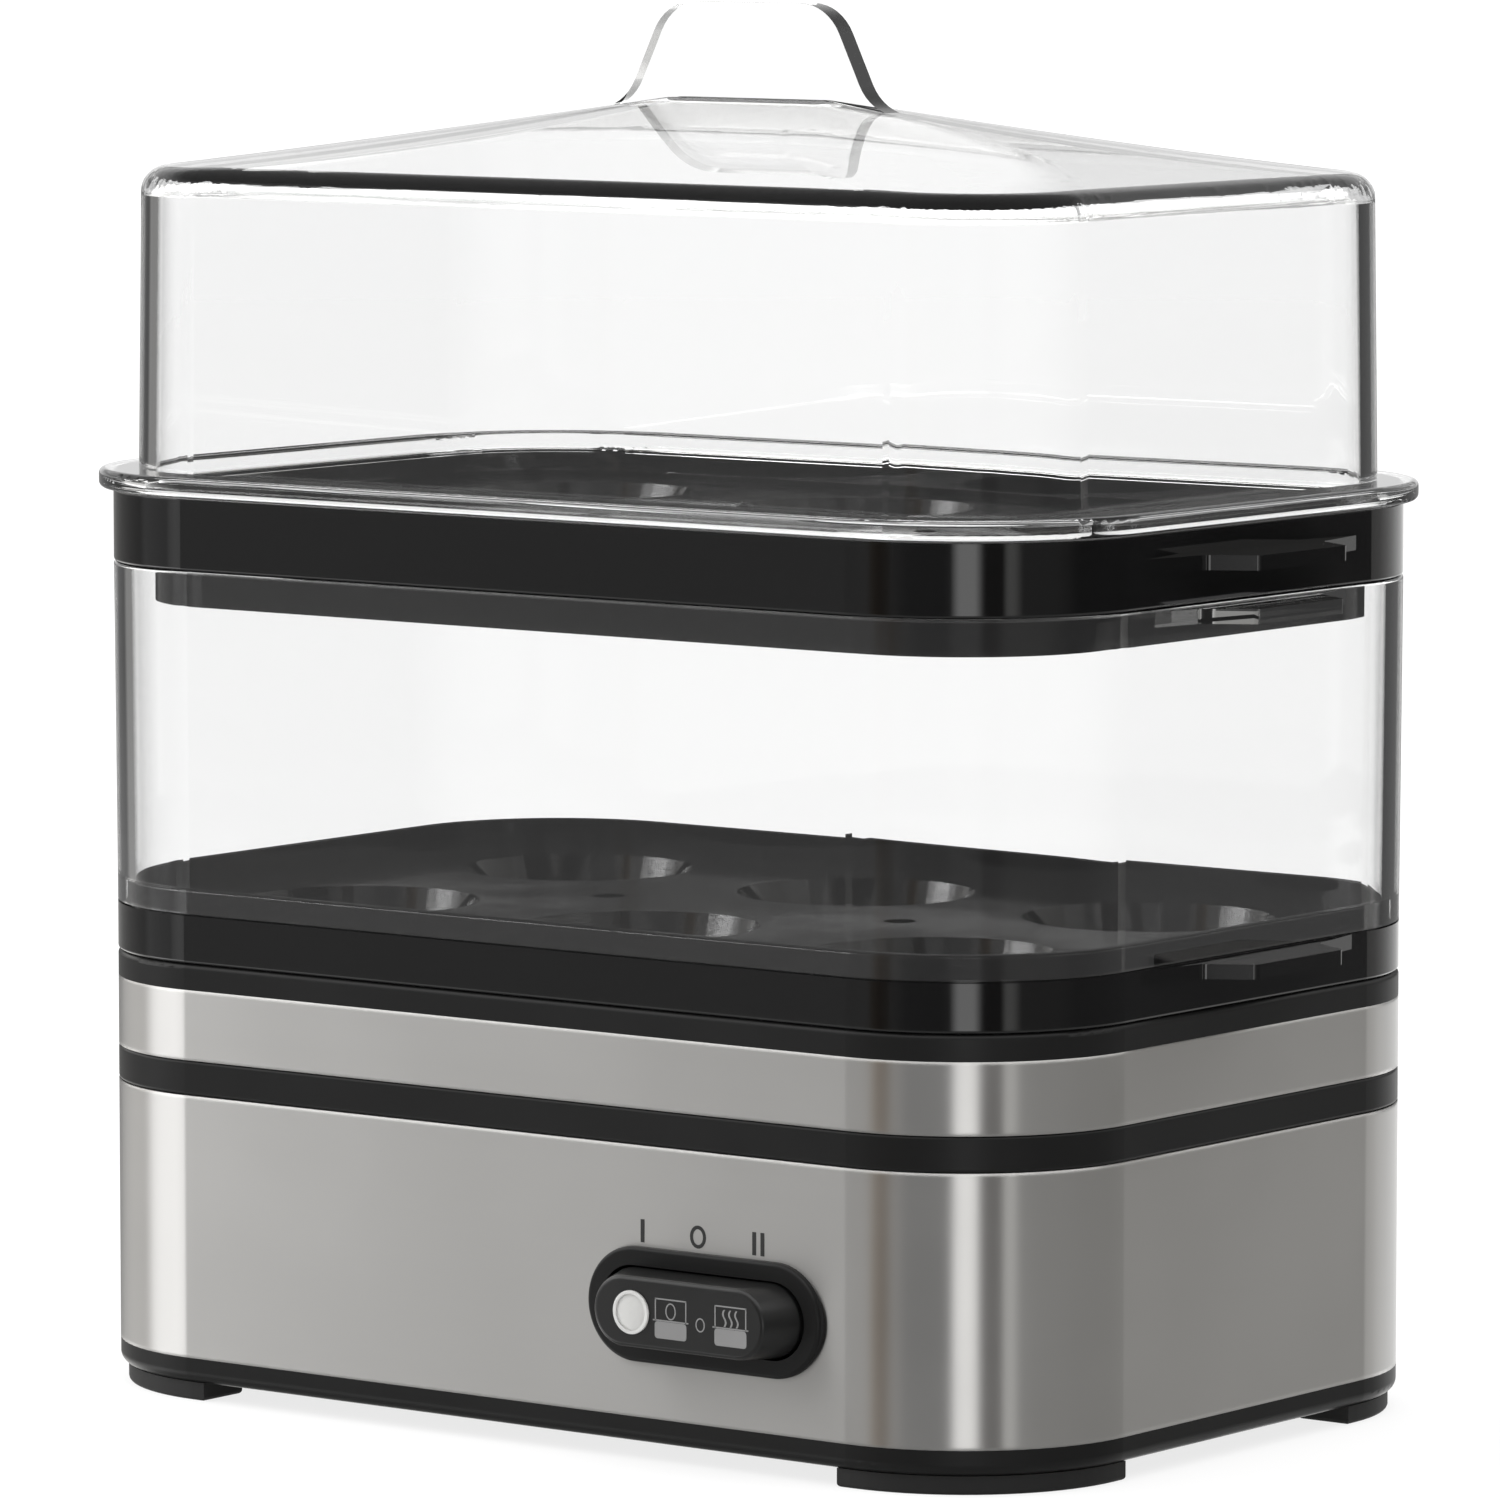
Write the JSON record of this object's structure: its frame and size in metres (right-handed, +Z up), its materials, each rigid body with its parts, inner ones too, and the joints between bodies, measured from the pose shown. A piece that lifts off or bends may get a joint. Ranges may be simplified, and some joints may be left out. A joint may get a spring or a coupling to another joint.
{
  "type": "egg cooker",
  "caption": "Two-tier rectangular egg cooker: steel-clad heating base with a rocker switch, stacked egg trays, a clear tier wall and a clear crowned lid with a grip tab.",
  "frame": {"origin": "middle of the footprint, on the surface that the feet stand on", "axes": "+X to the right along the long front face, -Y out of the front face with the switch, +Z up"},
  "size_m": [0.201, 0.1346, 0.2115],
  "materials": {
    "stainless": "stainless steel with a fine horizontal brush, satin",
    "black_satin": "satin moulded black plastic",
    "black_gloss": "glossy moulded black plastic",
    "clear": "clear polished plastic",
    "rubber": "matt black rubber",
    "silicone": "translucent red-brown silicone",
    "plate_steel": "satin pressed stainless steel",
    "element_sheath": "dull heated sheath",
    "zinc_steel": "zinc-plated steel",
    "phenolic": "brown moulded phenolic",
    "white_nylon": "white nylon",
    "lead_insulation": "woven white-grey heatproof sleeving of the inner leads",
    "lens_milky": "milky translucent plastic",
    "lamp_glass": "clear lamp glass"
  },
  "bodies": {
    "base": {"feet": "rubber", "base_pan": "black_satin", "pan_screws": "zinc_steel", "inner_frame": "black_satin", "upper_frame": "black_satin", "lower_band": "stainless", "upper_band": "stainless", "rim_ring": "black_satin", "plate_gasket": "silicone", "heating_plate": "plate_steel", "heating_element": "element_sheath", "element_straps": "zinc_steel", "sensor_bracket": "zinc_steel", "stud_nuts": "zinc_steel", "thermostat": "phenolic", "thermal_fuse": "white_nylon", "fuse_cradle": "phenolic", "heat_shield": "plate_steel", "shield_screws": "zinc_steel", "terminal_block": "white_nylon", "live_lead": "lead_insulation", "cook_lead": "lead_insulation", "warm_lead": "lead_insulation", "sensor_lead": "lead_insulation", "fuse_lead": "lead_insulation", "neutral_lead": "lead_insulation", "cord_gland": "black_satin", "gland_nut": "black_satin", "switch_bezel": "black_satin", "switch_body": "black_satin", "rocker_pin": "zinc_steel"},
    "rocker": {"switch_rocker": "black_satin", "indicator_lens": "lens_milky", "indicator_lamp": "lamp_glass"},
    "lower_tray": {"lower_tray": "black_gloss"},
    "tier": {"tier_wall": "clear"},
    "upper_tray": {"upper_tray": "black_gloss"},
    "lid": {"lid": "clear"}
  },
  "joints": [
    {"name": "lower_tray_lift", "type": "slide", "parent": "base", "child": "lower_tray", "axis": [0, 0, 1], "range_m": [0, 0.03]},
    {"name": "tier_lift", "type": "slide", "parent": "lower_tray", "child": "tier", "axis": [0, 0, 1], "range_m": [0, 0.05]},
    {"name": "upper_tray_lift", "type": "slide", "parent": "tier", "child": "upper_tray", "axis": [0, 0, 1], "range_m": [0, 0.03]},
    {"name": "lid_lift", "type": "slide", "parent": "upper_tray", "child": "lid", "axis": [0, 0, 1], "range_m": [0, 0.06]},
    {"name": "rocker_tilt", "type": "hinge", "parent": "base", "child": "rocker", "pos_m": [0.0372, -0.0561, 0.0235], "axis": [0, 0, 1], "range_deg": [-7, 7]}
  ]
}
